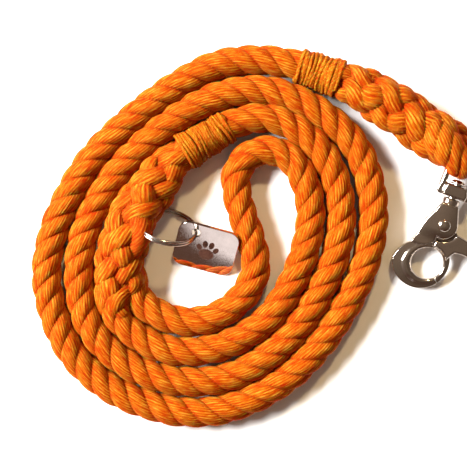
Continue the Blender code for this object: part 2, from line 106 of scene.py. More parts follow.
# The strand that holds the split ring in the handle's splice: x, y, z
RING_KEEPER = [
    (-57.0, 20.0, 12.0), (-54.6, 15.2, 16.8), (-52.2, 9.0, 19.0), (-50.9, 3.6, 19.6),
    (-52.2, -2.2, 18.4), (-55.6, -7.6, 15.4), (-59.0, -11.0, 10.0),
]

SPLICE_PROUD = 0.5 * MM  # the tucked strands' crowns above the splice's mean outline
SPLICE_FULL = 10.4 * MM  # half width at which its strands have their full size
SPLICE_THIN = 2.8 * MM  # half thickness of a tucked strand
SPLICE_BROAD = (4.1 * MM, 4.6 * MM)  # half width, of the forward and the backward strands
SPLICE_SWELL = 1.1 * MM  # how far a strand dives under its neighbours
SPLICE_CORE = 0.76  # the core's share of the outline
YARN_ROLL = 6.0 * MM  # length in which a tucked strand's yarns turn by one radian
STRAND_SIDES = 32

# Whippings: the line that each goes round
HOOK_WHIP = [(18.0, 76.6, 7.4), (27.3, 73.4, 7.7), (37.4, 69.6, 9.0)]
HANDLE_WHIP = [(-12.2, 49.8, 7.4), (-22.6, 43.3, 7.7), (-33.2, 37.1, 8.9)]
WHIP_STOPS = [0.0, 0.08, 0.5, 0.92, 1.0]  # where along it the radii are given
LONGEST_FIBRE = 2.8 * MM

Y_AXIS = Matrix.Rotation(math.radians(-90), 4, "X")  # turns a solid of revolution from Z to Y

# Snap hook, drawn flat: x across, y from the ring towards the swivel, z out of its face
HOOK_AXES = (
    Matrix.Translation(Vector((82.3, 5.8, 6.95)) * MM)
    @ Matrix.Rotation(math.radians(-20.1), 4, "Z")
    @ Matrix.Rotation(math.radians(7.7), 4, "X")
)
RIVET_X = 0.64
RING_Y = -18.4  # centre of the round opening
RING_R = 7.0
RIM_XY = (-3.2, -18.0)  # centre of the jaws' outer edge
RIM_R = 12.9
JAW_HALF = 2.8  # half thickness
# Half of a jaw's section: (share of the way from the opening to the rim, share of the half height)
JAW_PROFILE = [
    (0.0, 0.0), (0.02, 0.4), (0.06, 0.65), (0.12, 0.83), (0.2, 0.95), (0.3, 1.0), (0.38, 0.985),
    (0.45, 0.92), (0.5, 0.85), (0.545, 0.775), (0.6, 0.74), (0.7, 0.71), (0.82, 0.685),
    (0.94, 0.655), (0.995, 0.63), (1.0, 0.55), (1.0, 0.0),
]
# The fixed jaw narrows towards the body: degrees round the opening, and radius there
JAW_SHOULDER = ([96, 120, 146, 173, 189, 203], [9.5, 11.0, 12.2, 14.3, 15.6, 17.0])
BODY_HALF = 4.2
SLOT_HALF = 1.8
SHOULDER_R = 6.2
RIVET_HEAD_R = 2.75
RIVET_HEAD_RISE = 1.3
PIN_R = 2.0
PIN_GAP = 0.3
BAIL_EYE_Y = 26.5
BAIL_EYE_R = 4.8
BAIL_WIRE = 3.2
WRAP_ANGLE = 28.0  # where the rope goes round the bail, from its left leg
EYE_BEND_R = 6.35
EYE_LEG = 8.9

# Split ring and tag
SPLIT_AXES = (
    Matrix.Translation(Vector((-39.5, 4.7, 12.35)) * MM)
    @ Matrix.Rotation(math.radians(-15.0), 4, "Z")
    @ Matrix.Rotation(math.radians(-57.5), 4, "X")
)
SPLIT_R = 13.0
COIL_HALF = 0.62  # half the height of one coil of the ring
COIL_WIDE = 0.68  # half its width
COIL_SPAN = (36.0, 684.0)  # degrees of wire, from one end to the other
COIL_STEP = (332.0, 56.0)  # where one coil starts to climb on the other, and for how long
TAG_ANGLE = 8.0  # where the tag hangs on the ring
TAG_SIZE = (27.6, 23.2)
TAG_HOLE_IN = (8.0, 4.6)  # from the tag's left and top edges
TAG_HOLE_R = 2.0
TAG_HALF = 0.8
TAG_CORNER = 5.0
TAG_TILT = 33.0

ORANGE = (0.34, 0.113, 0.003)

CAMERA_HEIGHT = 0.52  # above the rope's centreline
WIDTH_SEEN = 0.2081
SENSOR = 36.0


# ------------------------ curves and frames


def smooth_route(keys, step):
    """Catmull-Rom curve through the keys, with points about step apart."""
    keys = np.array(keys, float)
    ends = np.vstack([keys[0] * 2 - keys[1], keys, keys[-1] * 2 - keys[-2]])
    t = np.linspace(0.0, 1.0, 24, endpoint=False)[:, None]
    pieces = []
    for a, b, c, d in zip(ends, ends[1:], ends[2:], ends[3:]):
        bend = (a * 2 - b * 5 + c * 4 - d) * (t**2 / 2)
        pieces.append(b + (c - a) * (t / 2) + bend + (b * 3 - a - c * 3 + d) * (t**3 / 2))
    fine = np.vstack([*pieces, keys[-1:]])
    along = lengths(fine[:, :3])
    at = np.linspace(0.0, along[-1], max(3, round(along[-1] / step) + 1))
    return np.stack([np.interp(at, along, column) for column in fine.T], axis=1)


def lengths(points):
    """Distance along a line of points, at each of them."""
    steps = np.linalg.norm(np.diff(points, axis=0), axis=1)
    return np.concatenate([[0.0], np.cumsum(steps)])


def unit(vectors):
    return vectors / np.linalg.norm(vectors, axis=-1, keepdims=True)


def smoothstep(x):
    x = np.clip(x, 0.0, 1.0)
    return x * x * (3.0 - 2.0 * x)


def level_frames(points):
    """Side and up vectors of a line that is never upright: side x up is its direction."""
    ahead = unit(np.gradient(points, axis=0))
    side = unit(np.cross(UP, ahead))
    return side, np.cross(ahead, side), ahead


def carried_frames(points, first_side):
    """Frames carried along a line without twist."""
    ahead = unit(np.gradient(points, axis=0))
    side = np.array(first_side, float)
    sides = []
    for direction in ahead:
        side = side - direction * (side @ direction)
        side = side / np.linalg.norm(side)
        sides.append(side)
    sides = np.array(sides)
    return sides, np.cross(ahead, sides), ahead


def wobble(count, reach, size):
    """Smooth random walk of a given size, count values, correlated over reach of them."""
    raw = RANDOM.normal(size=count + 4 * reach)
    window = np.hanning(2 * reach + 1)
    smooth = np.convolve(raw, window / window.sum(), mode="same")[2 * reach : 2 * reach + count]
    return smooth / max(1e-9, smooth.std()) * size


# ------------------------ swept meshes


class Bundle:
    """Strands swept along lines, gathered in one mesh."""

    def __init__(self):
        self.points, self.quads, self.fans, self.uvs, self.depths, self.tones_and_shades = [], [], [], [], [], []
        self.count = 0

    def strand(self, centres, across, outward, wide, high, roll=0.0, sides=2 * YARNS, ridge=RIDGE,
               tone_and_shade=0.0, depth=None, blunt=True):
        """One closed strand. Its long edges follow its yarns, so ridges lie along them."""
        rings = len(centres)
        wide, high, roll = (np.broadcast_to(x, rings) for x in (wide, high, roll))
        angle = np.arange(sides) * (math.tau / sides)
        turn = angle[None, :] + roll[:, None]
        crest = np.where(np.arange(sides) % 2 == 0, ridge, -ridge)[None, :]
        ends = np.ones(rings)
        if blunt:
            ends[0] = ends[-1] = BLUNT_END
        a = np.cos(turn) * (high[:, None] * ends[:, None] + crest)
        b = np.sin(turn) * (wide[:, None] * ends[:, None] + crest)
        ring = centres[:, None] + outward[:, None] * a[..., None] + across[:, None] * b[..., None]
        base = self.count
        grid = base + np.arange(rings * sides).reshape(rings, sides)
        nxt = np.roll(grid, -1, axis=1)
        self.quads.append(
            np.stack([grid[:-1], nxt[:-1], nxt[1:], grid[1:]], axis=-1).reshape(-1, 4)
        )
        along = lengths(centres) / MM
        u = np.arange(sides) / 2.0
        v0 = np.broadcast_to(along[:-1, None], (rings - 1, sides))
        v1 = np.broadcast_to(along[1:, None], (rings - 1, sides))
        u0 = np.broadcast_to(u, (rings - 1, sides))
        corners = [(u0, v0), (u0 + 0.5, v0), (u0 + 0.5, v1), (u0, v1)]
        self.uvs.append(np.stack([np.stack(c, axis=-1) for c in corners], axis=2).reshape(-1, 2))
        tips = np.stack([centres[0], centres[-1]])
        self.points += [ring.reshape(-1, 3), tips]
        for tip, edge, flip in ((0, grid[0], True), (1, grid[-1], False)):
            centre = np.full(sides, base + rings * sides + tip)
            pair = (np.roll(edge, -1), edge) if flip else (edge, np.roll(edge, -1))
            self.fans.append(np.stack([*pair, centre], axis=-1))
        # Painted shade: darker towards the valleys between strands, where shade falls.
        shade = np.zeros((rings, sides)) if depth is None else depth(ring)
        # Painted shade in the grooves between the yarns.
        groove = np.where(crest < 0.0, GROOVE_SHADE * ridge / RIDGE, 0.0)
        shade = shade + groove * (1.0 - shade)
        self.depths += [shade.reshape(-1), np.full(2, shade.mean())]
        self.tones_and_shades.append(np.full(rings * sides + 2, tone_and_shade))
        self.count += rings * sides + 2

    def mesh(self, name):
        """The strands as one mesh, with yarn coordinates, each point's painted shade, and its tone:
        random tone on most strands, painted shade on strands that lie under others.
        """
        quads, fans = np.vstack(self.quads), np.vstack(self.fans)
        mesh = bpy.data.meshes.new(name)
        mesh.from_pydata(np.vstack(self.points), [], [*quads.tolist(), *fans.tolist()])
        layer = mesh.uv_layers.new(name="yarn")
        uv = np.vstack([*self.uvs, np.zeros((fans.size, 2))])
        layer.data.foreach_set("uv", uv.astype(np.float32).ravel())
        for title, values in (("depth", self.depths), ("tone_and_shade", self.tones_and_shades)):
            attribute = mesh.attributes.new(title, "FLOAT", "POINT")
            attribute.data.foreach_set("value", np.concatenate(values).astype(np.float32))
        mesh.shade_smooth()
        return mesh


def link(name, data):
    """A new object in the scene."""
    item = bpy.data.objects.new(name, data)
    bpy.context.scene.collection.objects.link(item)
    return item


def add_piece(name, mesh, mat, body, slot, *nodes):
    """Puts a finished mesh in the scene, on its body, in place of its CAD nodes."""
    item = link(name, mesh)
    mesh.materials.clear()
    mesh.materials.append(mat)
    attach(item, body)
    if nodes:
        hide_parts(*nodes)
    return item


# ------------------------ materials


class Graph:
    """Node tree with short helpers."""

    def __init__(self, tree):
        self.nodes, self.links = tree.nodes, tree.links

    def node(self, kind, links=None, **settings):
        """A new node; settings are input values or node properties, links are {input: source}."""
        node = self.nodes.new(kind)
        for key, value in settings.items():
            if key in node.inputs:
                node.inputs[key].default_value = value
            else:
                setattr(node, key, value)
        for key, source in (links or {}).items():
            self.links.new(source, node.inputs[key])
        return node

    def ramp(self, source, *stops):
        """Colour ramp with (position, colour) stops."""
        node = self.node("ShaderNodeValToRGB", {"Fac": source})
        elements = node.color_ramp.elements
        while len(elements) < len(stops):
            elements.new(0.5)
        for element, (position, colour) in zip(elements, stops):
            element.position = position
            element.color = (*colour, 1.0)
        return node.outputs["Color"]

    def mix(self, kind, share, first, second):
        """Colour mix of two colours or sources."""
        node = self.node("ShaderNodeMix", data_type="RGBA", blend_type=kind)
        for index, value in ((0, share), (6, first), (7, second)):
            if isinstance(value, (float, tuple)):
                node.inputs[index].default_value = value
            else:
                self.links.new(value, node.inputs[index])
        return node.outputs[2]

    def math(self, operation, first, second):
        """Arithmetic on two numbers or sources."""
        node = self.node("ShaderNodeMath", operation=operation)
        for index, value in enumerate((first, second)):
            if isinstance(value, float):
                node.inputs[index].default_value = value
            else:
                self.links.new(value, node.inputs[index])
        return node.outputs[0]

    def span(self, source, low, high):
        """0 where source is low, 1 where it is high."""
        node = self.node(
            "ShaderNodeMapRange", {"Value": source}, **{"From Min": low, "From Max": high}
        )
        return node.outputs[0]


class Shader(Graph):
    """Node material round a Principled shader."""

    def __init__(self, name):
        self.mat = bpy.data.materials.new(name)
        self.mat.use_nodes = True
        super().__init__(self.mat.node_tree)
        self.main = self.nodes["Principled BSDF"]

    def set(self, **values):
        for key, value in values.items():
            self.main.inputs[key.replace("_", " ")].default_value = value


def grey(value):
    return (value, value, value)


def cotton(name, colour, streak=(1.6, 0.22), seep=2.2 * MM):
    """Dyed cotton yarn: streaks along the yarns, and painted shade in the grooves between yarns and in
    the valleys between strands.

    seep is how far red light travels inside it.
    """
    s = Shader(name)
    s.set(Roughness=0.65, Sheen_Weight=0.14, Sheen_Roughness=0.35, Sheen_Tint=(1.0, 0.25, 0.04, 1.0))
    s.set(Specular_IOR_Level=0.3, Specular_Tint=(1.0, 0.3, 0.06, 1.0))
    s.set(Subsurface_Weight=0.7, Subsurface_Radius=(1.0, 0.05, 0.02), Subsurface_Scale=seep)
    uv = s.node("ShaderNodeUVMap", uv_map="yarn").outputs["UV"]
    place = s.node("ShaderNodeTexCoord").outputs["Object"]
    stretched = s.node("ShaderNodeMapping", {"Vector": uv}, Scale=(streak[0], streak[1], 1.0))
    streaks = s.node(
        "ShaderNodeTexNoise", {"Vector": stretched.outputs[0]}, Scale=1.0, Detail=4.0, Roughness=0.65
    )
    fine = s.node("ShaderNodeMapping", {"Vector": uv}, Scale=(streak[0] * 4.5, streak[1] * 3.0, 1.0))
    fibres = s.node(
        "ShaderNodeTexNoise", {"Vector": fine.outputs[0]}, Scale=1.0, Detail=3.0, Roughness=0.7
    )
    patches = s.node("ShaderNodeTexNoise", {"Vector": place}, Scale=95.0, Detail=3.0)
    valley_shade = s.node("ShaderNodeAttribute", attribute_name="depth").outputs["Fac"]
    tone_and_shade = s.node("ShaderNodeAttribute", attribute_name="tone_and_shade").outputs["Fac"]
    light = (colour[0] * 1.4, colour[1] * 2.35, colour[2] * 8.0)
    dark = (colour[0] * 0.8, colour[1] * 0.15, colour[2] * 0.3)
    shade = s.ramp(streaks.outputs["Fac"], (0.36, dark), (0.5, colour), (0.64, light))
    cloudy = s.ramp(patches.outputs["Fac"], (0.3, grey(0.9)), (0.7, grey(1.08)))
    patchy = s.mix("MULTIPLY", 1.0, shade, cloudy)
    fibrous = s.ramp(fibres.outputs["Fac"], (0.32, (0.86, 0.78, 0.7)), (0.6, grey(1.06)))
    fluffy = s.mix("MULTIPLY", 1.0, patchy, fibrous)
    # Darker by each strand's tone: random tone on most strands, painted shade on the splice cores, the
    # keeper strand and the covered layers of whippings.
    toned_and_shaded = s.mix("MIX", s.math("MULTIPLY", tone_and_shade, 0.5), fluffy, (*dark, 1.0))
    # Painted shade: the colour goes to a darker red in the valleys between strands and in the grooves
    # between yarns.
    sunk = s.mix("MIX", valley_shade, toned_and_shaded, (colour[0] * 0.7, colour[1] * 0.07, 0.0, 1.0))
    s.links.new(sunk, s.main.inputs["Base Color"])
    rise = s.math("ADD", s.math("MULTIPLY", fibres.outputs["Fac"], 0.6), streaks.outputs["Fac"])
    bump = s.node("ShaderNodeBump", {"Height": rise}, Strength=0.8, Distance=0.0006)
    s.links.new(bump.outputs["Normal"], s.main.inputs["Normal"])
    return s.mat


def fibres_material():
    """Loose cotton fibres, paler than the yarn that they stand off."""
    s = Shader("cotton_fibres")
    s.set(Roughness=0.8, Specular_IOR_Level=0.1)
    place = s.node("ShaderNodeTexCoord").outputs["Object"]
    patches = s.node("ShaderNodeTexNoise", {"Vector": place}, Scale=900.0, Detail=2.0)
    tint = s.ramp(patches.outputs["Fac"], (0.35, (0.4, 0.06, 0.001)), (0.6, (0.6, 0.2, 0.01)))
    s.links.new(tint, s.main.inputs["Base Color"])
    return s.mat


def nickel(name, colour, roughness, wear=1.0):
    """Polished plating: faint clouding and fine scratches."""
    s = Shader(name)
    s.set(Metallic=1.0)
    place = s.node("ShaderNodeTexCoord").outputs["Object"]
    clouds = s.node("ShaderNodeTexNoise", {"Vector": place}, Scale=160.0, Detail=4.0)
    scratches = s.node("ShaderNodeMapping", {"Vector": place}, Scale=(5200.0, 700.0, 900.0))
    scratch = s.node("ShaderNodeTexNoise", {"Vector": scratches.outputs[0]}, Scale=1.0, Detail=2.0)
    dull = tuple(c * 0.86 for c in colour)
    tint = s.ramp(clouds.outputs["Fac"], (0.3, dull), (0.65, colour))
    s.links.new(tint, s.main.inputs["Base Color"])
    rough = s.ramp(clouds.outputs["Fac"], (0.3, grey(roughness + 0.07 * wear)), (0.7, grey(roughness)))
    s.links.new(rough, s.main.inputs["Roughness"])
    bump = s.node(
        "ShaderNodeBump", {"Height": scratch.outputs["Fac"]}, Strength=0.05 * wear, Distance=0.0001
    )
    s.links.new(bump.outputs["Normal"], s.main.inputs["Normal"])
    return s.mat


def etched_metal():
    """Dark brown grainy surface of the etched paw."""
    s = Shader("etched_brown")
    s.set(Metallic=0.6)
    place = s.node("ShaderNodeTexCoord").outputs["Object"]
    grain = s.node("ShaderNodeTexNoise", {"Vector": place}, Scale=2400.0, Detail=3.0)
    tint = s.ramp(grain.outputs["Fac"], (0.35, (0.05, 0.02, 0.013)), (0.65, (0.14, 0.06, 0.04)))
    s.links.new(tint, s.main.inputs["Base Color"])
    rough = s.ramp(grain.outputs["Fac"], (0.3, grey(0.45)), (0.7, grey(0.7)))
    s.links.new(rough, s.main.inputs["Roughness"])
    return s.mat


# ------------------------ rope


def rope_line(route, rise):
    """Centreline of a rope that lies on the table, raised towards both of its ends."""
    flat = smooth_route(route, 1.0 * MM)
    reach = np.minimum(
        np.linalg.norm(flat - flat[0], axis=1), np.linalg.norm(flat - flat[-1], axis=1)
    )
    height = ROPE_R + FLOOR_GAP + rise * smoothstep(1.0 - reach / RISE_REACH)
    return np.column_stack([flat, height])


def valley(line, side, up, wide, high, band):
    """Painted shade inside an outline: 0 on the strands' crowns, 1 in the valleys between them, where
    shade falls.
    """

    def depth(ring):
        away = ring - line[:, None]
        sideways = np.einsum("rpk,rk->rp", away, side) / wide[:, None]
        upwards = np.einsum("rpk,rk->rp", away, up) / high[:, None]
        return smoothstep((0.98 - np.hypot(sideways, upwards)) / band)

    return depth


def laid_strands(bundle, line, side, up, ahead, size=1.0, lay=LAY, phase=0.0, broad=1.0):
    """Right-laid rope of three strands round a line.

    size scales it from point to point, and broad spreads it sideways.
    """
    count = len(line)
    size = np.broadcast_to(size, count)
    broad = np.broadcast_to(broad, count)
    along = lengths(line)
    turn = phase + math.tau * along / lay + wobble(count, 30, 0.03)
    rate = math.tau / lay
    outline = (STRAND_ORBIT + STRAND_OUT) * size
    # Painted shade in the valleys between the three strands.
    valley_shade = valley(line, side, up, outline * broad, outline, 0.2)
    for k in range(3):
        theta = turn + math.tau * k / 3
        out = side * np.cos(theta)[:, None] + up * np.sin(theta)[:, None]
        round_ = up * np.cos(theta)[:, None] - side * np.sin(theta)[:, None]
        orbit = STRAND_ORBIT * size
        across = unit(round_ - ahead * (orbit * rate)[:, None])
        spread = side * (orbit * (broad - 1.0) * np.cos(theta))[:, None]
        plump = 1.0 + wobble(count, 12, 0.018)
        roll = -(ROPE_R / STRAND_WIDE) * rate * along + wobble(count, 25, 0.10)
        centres = line + out * orbit[:, None] + spread
        centres[:, 2] = np.maximum(centres[:, 2], STRAND_OUT * size * plump + RIDGE)
        bundle.strand(
            centres, across, out, STRAND_WIDE * size * plump * broad**0.5,
            STRAND_OUT * size * plump * broad**0.3, roll, tone_and_shade=RANDOM.uniform(0.0, 0.35), depth=valley_shade,
        )


def make_rope(name, node, route, rise, mat, lay_phase):
    """A laid rope on the table."""
    line = rope_line(route, rise)
    side, up, ahead = level_frames(line)
    bundle = Bundle()
    laid_strands(bundle, line, side, up, ahead, phase=lay_phase)
    piece = add_piece(name, bundle.mesh(name), mat, "leash", "rope_cotton", node)


# ------------------------ splices and whippings


def braid(bundle, stations, forward, backward, phase=0.0):
    """Tucked splice: strands wind both ways round a core, each over one and under the next.

    forward and backward are (strands, length of a full turn), both counts odd; the strands keep
    inside the outline that the stations give.
    """
    samples = smooth_route(stations, 0.9 * MM)
    wide, high = samples[:, 2] + SPLICE_PROUD, samples[:, 3] + SPLICE_PROUD * 0.5
    line = np.column_stack([samples[:, :2], samples[:, 4]])
    side, up, _ = level_frames(line)
    along = lengths(line)
    both = math.tau * along * (1.0 / forward[1] + 1.0 / backward[1])
    growth = np.clip(wide / SPLICE_FULL, 0.55, 1.0)
    # Painted shade in the valleys between the tucked strands.
    valley_shade = valley(line, side, up, wide, high, 0.24)
    for direction, (strands, length), other, broad in (
        (1, forward, backward[0], SPLICE_BROAD[0]), (-1, backward, forward[0], SPLICE_BROAD[1]),
    ):
        for k in range(strands):
            own = math.tau * k / strands
            theta = phase + own + direction * math.tau * along / length + wobble(len(line), 14, 0.06)
            over = direction * np.cos(other / 2 * (both + direction * own) + math.pi * k)
            thin = SPLICE_THIN * growth
            reach = thin + SPLICE_SWELL * growth * (1.0 - over)
            out = side * np.cos(theta)[:, None] + up * np.sin(theta)[:, None]
            offset = side * ((wide - reach) * np.cos(theta))[:, None]
            offset += up * ((high - reach) * np.sin(theta))[:, None]
            centres = line + offset
            centres[:, 2] = np.maximum(centres[:, 2], thin * 1.15 + RIDGE)
            path_ahead = unit(np.gradient(centres, axis=0))
            out = unit(out - path_ahead * np.sum(out * path_ahead, axis=1, keepdims=True))
            across = np.cross(path_ahead, out)
            swollen = 1.0 + 0.12 * over + wobble(len(line), 10, 0.03)
            roll = -direction * along / YARN_ROLL + wobble(len(line), 12, 0.3)
            bundle.strand(
                centres, across, out, broad * growth * swollen, thin * swollen, roll,
                sides=STRAND_SIDES, tone_and_shade=RANDOM.uniform(0.0, 0.3), depth=valley_shade,
            )
    # The core lies under the tucked strands: painted shade makes it darker.
    bundle.strand(
        line, -side, up, wide * SPLICE_CORE, high * SPLICE_CORE, sides=STRAND_SIDES, tone_and_shade=1.2
    )


def make_splice(name, node, stations, mat, keeper=None, **shape):
    """A braided splice; keeper is one more strand, tucked along its top."""
    bundle = Bundle()
    braid(bundle, stations, **shape)
    if keeper is not None:
        line = smooth_route(np.array(keeper) * MM, 0.7 * MM)
        side, up, _ = level_frames(line)
        slim = np.sin(np.linspace(0.12, math.pi - 0.12, len(line))) ** 0.5
        # The keeper strand lies in the splice's shade: painted shade makes it darker.
        bundle.strand(
            line, -side, up, 4.1 * MM * slim, 2.3 * MM * slim, lengths(line) / YARN_ROLL,
            sides=STRAND_SIDES, tone_and_shade=1.2,
        )
    return add_piece(name, bundle.mesh(name), mat, "leash", "rope_cotton", node)


def make_whipping(name, node, stretch, turns, mat, radii, twine, lay_phase):
    """Twine wound tight over the rope's strands, its turns uneven, some riding over others.

    radii are outer radii in millimetres at WHIP_STOPS, and twine is the twine's half width.
    """
    line = smooth_route(np.array(stretch) * MM, 0.2 * MM)
    side, up, _ = level_frames(line)
    along = lengths(line)
    total = along[-1]
    bundle = Bundle()
    per_turn = 40
    for layer in range(2):
        count = (turns - layer * 2) * per_turn
        share = np.linspace(0.0, 1.0, count)
        theta = lay_phase + share * math.tau * count / per_turn + layer * 2.1
        lean = 0.35 * MM * np.cos(theta - 0.6) + 0.4 * MM * np.cos(2 * theta + share * 9)
        spread = wobble(count, per_turn // 2, 0.3 * MM) + wobble(count, 2 * per_turn, 0.45 * MM) * layer
        ease = smoothstep(np.minimum(share, 1.0 - share) / 0.12) * 0.8 + 0.2
        at = share * (total - 2.2 * twine) + 1.1 * twine + (lean + spread) * ease
        centre = np.stack([np.interp(at, along, column) for column in line.T], axis=1)
        s = unit(np.stack([np.interp(at, along, column) for column in side.T], axis=1))
        u = unit(np.stack([np.interp(at, along, column) for column in up.T], axis=1))
        radius = np.interp(at / total, WHIP_STOPS, radii) * MM - twine * 0.7
        radius = radius + 0.32 * MM * np.cos(3.0 * (theta - math.tau * at / LAY - lay_phase))
        radius = radius + wobble(count, 16, 0.12 * MM) + layer * twine * 0.45
        out = s * np.cos(theta)[:, None] + u * np.sin(theta)[:, None]
        centres = centre + out * radius[:, None]
        centres[:, 2] = np.maximum(centres[:, 2], twine)
        going = unit(np.gradient(centres, axis=0))
        out = unit(out - going * np.sum(out * going, axis=1, keepdims=True))
        roll = lengths(centres) / (1.1 * MM)
        plump = 1.0 + wobble(count, 14, 0.12)
        # Painted shade: the lower layer of twine is darker than the layer riding over it.
        bundle.strand(
            centres, np.cross(going, out), out, twine * 1.1 * plump, twine * 0.85 * plump, roll,
            sides=12, ridge=0.09 * MM, tone_and_shade=0.7 - 0.7 * layer,
        )
    under = line[[*range(0, len(line), 6), -1]]
    s, u, _ = level_frames(under)
    width = np.interp(lengths(under) / total, WHIP_STOPS, radii) * MM - twine * 1.5
    # The rope under the twine, darker with painted shade.
    bundle.strand(under, -s, u, width, width, sides=STRAND_SIDES, ridge=0.0, tone_and_shade=1.6)
    return add_piece(name, bundle.mesh(name), mat, "leash", "twine_cotton", node)


def make_fuzz(stem, count, mat):
    """Loose fibres standing off a piece's strands: thin closed bristles, each with one bend."""
    mesh = bpy.data.objects[stem + "_strands"].data
    spots = np.empty(len(mesh.vertices) * 3)
    facing = np.empty(len(mesh.vertices) * 3)
    mesh.vertices.foreach_get("co", spots)
    mesh.vertices.foreach_get("normal", facing)
    picks = RANDOM.integers(0, len(mesh.vertices), count)
    root = spots.reshape(-1, 3)[picks]
    normal = facing.reshape(-1, 3)[picks]
    drift = unit(np.cross(normal, RANDOM.normal(size=(count, 3))))
    length = (RANDOM.gamma(2.2, 0.42, count) * MM).clip(0.3 * MM, LONGEST_FIBRE)[:, None]
    knee = root + (normal * 0.55 + drift * 0.6) * length * 0.5
    tip = knee + (normal * 0.15 + drift + RANDOM.normal(size=(count, 3)) * 0.25) * length * 0.5
    thick = (RANDOM.uniform(0.04, 0.07, count) * MM)[:, None]
    first = unit(np.cross(tip - root, normal))
    second = unit(np.cross(tip - root, first))
    corners = []
    for at, scale in ((root - normal * 0.1 * MM, 1.0), (knee, 0.8)):
        for angle in (0.0, math.tau / 3, 2 * math.tau / 3):
            corners.append(at + (first * math.cos(angle) + second * math.sin(angle)) * thick * scale)
    corners.append(tip)
    points = np.stack(corners, axis=1)
    points[..., 2] = np.maximum(points[..., 2], 0.03 * MM)
    faces = [(2, 1, 0), (3, 4, 6), (4, 5, 6), (5, 3, 6)]
    faces += [(0, 1, 4), (0, 4, 3), (1, 2, 5), (1, 5, 4), (2, 0, 3), (2, 3, 5)]
    every = (np.array(faces)[None] + np.arange(count)[:, None, None] * 7).reshape(-1, 3)
    bristles = bpy.data.meshes.new(stem + "_fuzz")
    bristles.from_pydata(points.reshape(-1, 3), [], every.tolist())
    return add_piece(stem + "_fuzz", bristles, mat, "leash", "rope_cotton")


# ------------------------ metal shapes


def arc(centre, radius, start, end, step=6.0):
    """Points of an arc in millimetres, in degrees from start to end either way round."""
    count = max(2, math.ceil(abs(end - start) / step))
    angles = [math.radians(start + (end - start) * k / count) for k in range(count + 1)]
    return [(centre[0] + radius * math.cos(a), centre[1] + radius * math.sin(a)) for a in angles]


def mesh_of(item):
    """The finished mesh of a helper object, which is then removed."""
    bpy.context.view_layer.update()
    graph = bpy.context.evaluated_depsgraph_get()
    mesh = bpy.data.meshes.new_from_object(item.evaluated_get(graph))
    mesh.transform(item.matrix_basis)
    bpy.data.objects.remove(item, do_unlink=True)
    return mesh


def mended(mesh, weld=0.0):
    """The mesh with its faces all turned outwards, and points within weld of each other joined."""
    work = bmesh.new()
    work.from_mesh(mesh)
    if weld:
        bmesh.ops.remove_doubles(work, verts=work.verts, dist=weld)
    bmesh.ops.recalc_face_normals(work, faces=work.faces)
    work.to_mesh(mesh)
    work.free()
    return mesh


def joined(meshes):
    """Several meshes in one."""
    work = bmesh.new()
    for mesh in meshes:
        work.from_mesh(mesh)
    whole = bpy.data.meshes.new("joined")
    work.to_mesh(whole)
    work.free()
    return whole


def rounded_plate(outlines, half, edge, centre_z=0.0, rounds=4):
    """Flat outline (mm) with holes and rounded edges, as a closed mesh in metres."""
    curve = bpy.data.curves.new("outline", "CURVE")
    curve.dimensions = "2D"
    curve.fill_mode = "BOTH"
    curve.extrude = (half - edge) * MM
    curve.bevel_depth = edge * MM
    curve.bevel_resolution = rounds
    curve.offset = -edge * MM
    for outline in outlines:
        spline = curve.splines.new("POLY")
        spline.points.add(len(outline) - 1)
        for point, (x, y) in zip(spline.points, outline):
            point.co = (x * MM, y * MM, 0.0, 1.0)
        spline.use_cyclic_u = True
    item = link("helper", curve)
    item.matrix_basis = Matrix.Translation((0.0, 0.0, centre_z * MM))
    return mended(mesh_of(item), weld=0.001 * MM)


def grid_mesh(rings, closed_ends=True):
    """Closed mesh from rings of points (metres), each ring a closed outline."""
    rings = np.array(rings)
    count, sides = rings.shape[:2]
    grid = np.arange(count * sides).reshape(count, sides)
    nxt = np.roll(grid, -1, axis=1)
    quads = np.stack([grid[:-1], nxt[:-1], nxt[1:], grid[1:]], axis=-1).reshape(-1, 4).tolist()
    caps = [grid[0][::-1].tolist(), grid[-1].tolist()] if closed_ends else []
    mesh = bpy.data.meshes.new("rings")
    mesh.from_pydata(rings.reshape(-1, 3), [], quads + caps)
    return mended(mesh)


def turned(profile, axis=None):
    """Solid of revolution from (radius, height) points in mm; axis turns it from Z."""
    rings = []
    for angle in np.linspace(0.0, math.tau, 65):
        rings.append([(r * math.cos(angle) * MM, r * math.sin(angle) * MM, z * MM) for r, z in profile])
    mesh = mended(grid_mesh(rings, closed_ends=False), weld=0.002 * MM)
    if axis is not None:
        mesh.transform(axis)
    return mesh


def fuse(meshes, voxel, passes):
    """Cast shape: the meshes joined in one skin with soft fillets, as polishing leaves it."""
    item = link("helper", joined(meshes))
    skin = item.modifiers.new("skin", "REMESH")
    skin.mode = "VOXEL"
    skin.voxel_size = voxel * MM
    soft = item.modifiers.new("soft", "SMOOTH")
    soft.factor = 0.5
    soft.iterations = passes
    return mesh_of(item)


def cut(mesh, *cutters):
    """Takes the cutters' meshes out of a mesh."""
    item = link("helper", mesh)
    tools = []
    for cutter in cutters:
        tool = link("helper", cutter)
        step = item.modifiers.new("cut", "BOOLEAN")
        step.operation = "DIFFERENCE"
        step.solver = "EXACT"
        step.object = tool
        tools.append(tool)
    result = mesh_of(item)
    for tool in tools:
        bpy.data.objects.remove(tool, do_unlink=True)
    return result


def crown(mesh):
    """Lets the frame's flat faces fall away from its middle line, as polishing does."""
    low = -10.5
    for vertex in mesh.vertices:
        x, y = vertex.co.x / MM, vertex.co.y / MM
        if y > low:
            fade = min(1.0, (y - low) / 3.0)
            vertex.co.z *= 1.0 - 0.0035 * fade * min(64.0, x * x) - 0.0012 * fade * (y - 1.0) ** 2
        excess = abs(vertex.co.z) - JAW_HALF * MM
        if excess > 0.0:
            sunk = excess * 0.85 * float(smoothstep((-2.5 - y) / 6.5))
            vertex.co.z -= math.copysign(sunk, vertex.co.z)
    return mesh


